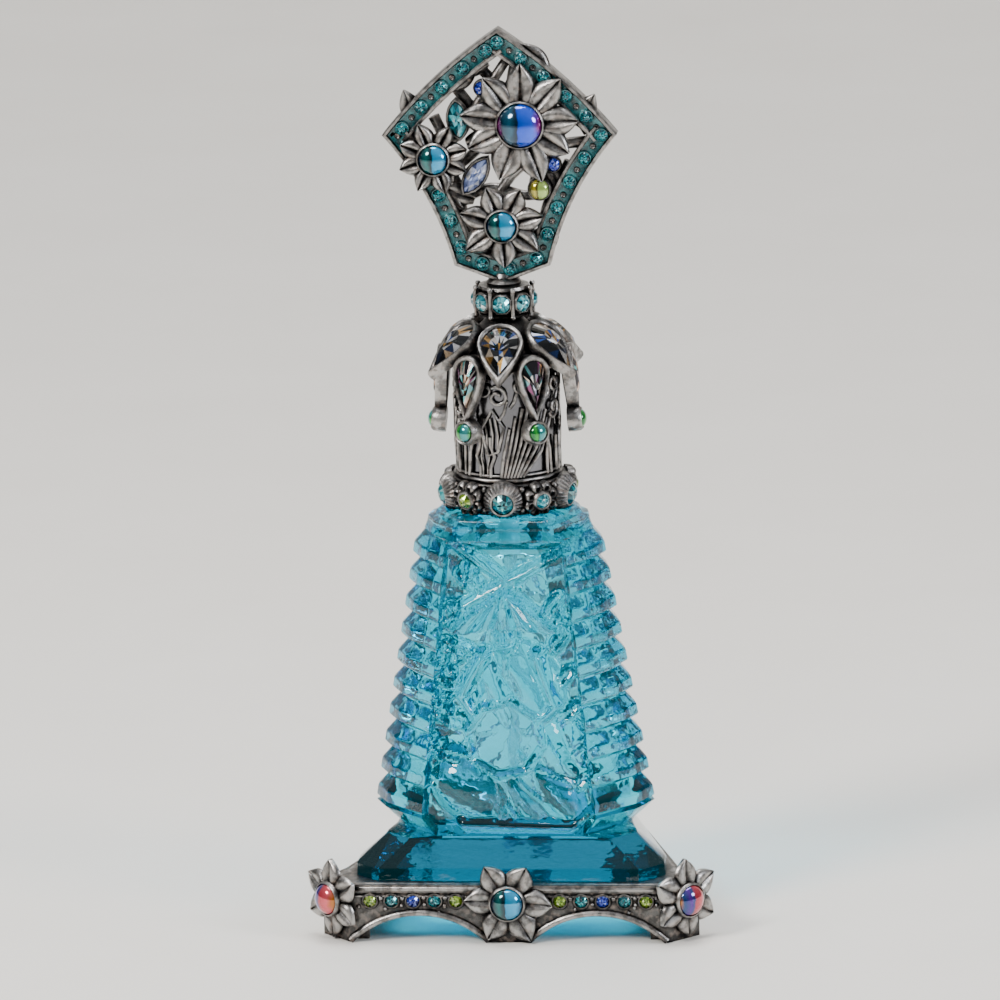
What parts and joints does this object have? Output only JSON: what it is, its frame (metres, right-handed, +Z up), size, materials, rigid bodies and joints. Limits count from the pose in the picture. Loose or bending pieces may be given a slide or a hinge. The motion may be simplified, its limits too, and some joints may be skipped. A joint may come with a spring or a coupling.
{
  "type": "perfume atomiser",
  "caption": "Footed pressed-glass perfume bottle with a screw-on fine-mist pump under a tall jewelled lift-off overcap.",
  "frame": {"origin": "centre of the footprint, on the plane that the feet stand on", "axes": "+Z up along the neck, pump and cap; the front, with the finial's stones, faces -Y; +X to the front's right"},
  "size_m": [0.0768, 0.0516, 0.1725],
  "materials": {
    "aqua_glass": "pressed, fire-polished, transparent aqua",
    "antique_silver": "cast pewter, silver plated and blackened in the recesses",
    "polished_shell": "polished tube behind the openwork, lightly smoked",
    "teal_enamel": "translucent teal cold enamel",
    "teal_crystal": "foiled faceted glass",
    "blue_crystal": "foiled faceted glass",
    "peridot_crystal": "foiled faceted glass",
    "aqua_crystal": "foiled faceted glass",
    "smoke_crystal": "dark faceted glass with a rainbow coating",
    "ice_crystal": "pale blue foiled faceted glass",
    "volcano_cabochon": "foiled domed glass, teal to violet",
    "green_cabochon": "foiled domed glass",
    "olive_glass": "foiled domed glass, yellow-green",
    "white_plastic": "moulded polypropylene",
    "clear_plastic": "extruded clear polyethylene",
    "silver_plastic": "metallised plastic",
    "black_plastic": "moulded plastic",
    "gasket_foam": "closed-cell sealing washer",
    "spring_steel": "stainless spring wire"
  },
  "bodies": {
    "bottle": {"base_back_cabochon": "volcano_cabochon", "base_back_flower": "antique_silver", "base_blue_stones": "blue_crystal", "base_corner_cabochons": "volcano_cabochon", "base_corner_flowers": "antique_silver", "base_frame": "antique_silver", "base_front_cabochon": "volcano_cabochon", "base_front_flower": "antique_silver", "base_peridot_stones": "peridot_crystal", "base_teal_stones": "teal_crystal", "collar_aqua_stones": "aqua_crystal", "collar_band": "antique_silver", "collar_blossoms": "antique_silver", "collar_daisies": "antique_silver", "collar_peridot_stones": "peridot_crystal", "collar_teal_stones": "teal_crystal", "glass_bottle": "aqua_glass"},
    "pump": {"neck_gasket": "gasket_foam", "pump_housing": "white_plastic", "dip_tube": "clear_plastic", "pump_spring": "spring_steel"},
    "closure": {"pump_closure": "silver_plastic"},
    "actuator": {"pump_piston": "white_plastic", "pump_stem": "white_plastic", "spray_button": "silver_plastic", "nozzle_insert": "black_plastic"},
    "inlet": {"inlet_ball": "spring_steel"},
    "cap": {"cap_liner": "black_plastic", "cap_shell": "polished_shell", "crown_bezels": "antique_silver", "crown_cone": "antique_silver", "crown_crystals": "smoke_crystal", "drop_bezels": "antique_silver", "drop_cabochons": "green_cabochon", "drop_crystals": "smoke_crystal", "filigree_sleeve": "antique_silver", "finial_channel_stones": "teal_crystal", "finial_enamel": "teal_enamel", "finial_frame": "antique_silver", "finial_stud": "spring_steel", "finial_trellis": "antique_silver", "large_cabochon": "volcano_cabochon", "large_flower": "antique_silver", "left_cabochon": "volcano_cabochon", "left_flower": "antique_silver", "lower_cabochon": "volcano_cabochon", "lower_flower": "antique_silver", "marquise_aqua_stone": "aqua_crystal", "marquise_blue_stone": "ice_crystal", "marquise_settings": "antique_silver", "olive_cabochon": "olive_glass", "olive_setting": "antique_silver", "rondelle_ring": "antique_silver", "rondelle_stones": "aqua_crystal", "sapphire_settings": "antique_silver", "sapphire_stones": "blue_crystal"}
  },
  "joints": [
    {"name": "cap_lift", "type": "slide", "parent": "bottle", "child": "cap", "axis": [0, 0, 1], "range_m": [0, 0.045]},
    {"name": "closure_rise", "type": "slide", "parent": "bottle", "child": "pump", "axis": [0, 0, 1], "range_m": [0, 0.00315]},
    {"name": "closure_turn", "type": "hinge", "parent": "pump", "child": "closure", "pos_m": [0, 0, 0.09], "axis": [0, 0, 1], "range_deg": [0, 540]},
    {"name": "button_press", "type": "slide", "parent": "pump", "child": "actuator", "axis": [0, 0, -1], "range_m": [0, 0.0035], "stiffness_N_per_m": 600, "springref_m": -0.0033, "deforming": ["pump_spring"]},
    {"name": "inlet_ball_lift", "type": "slide", "parent": "pump", "child": "inlet", "axis": [0, 0, 1], "range_m": [0, 0.0006]}
  ],
  "couplings": [
    {"joint": "closure_turn", "follows": "closure_rise", "rad_per_m": 2992}
  ]
}
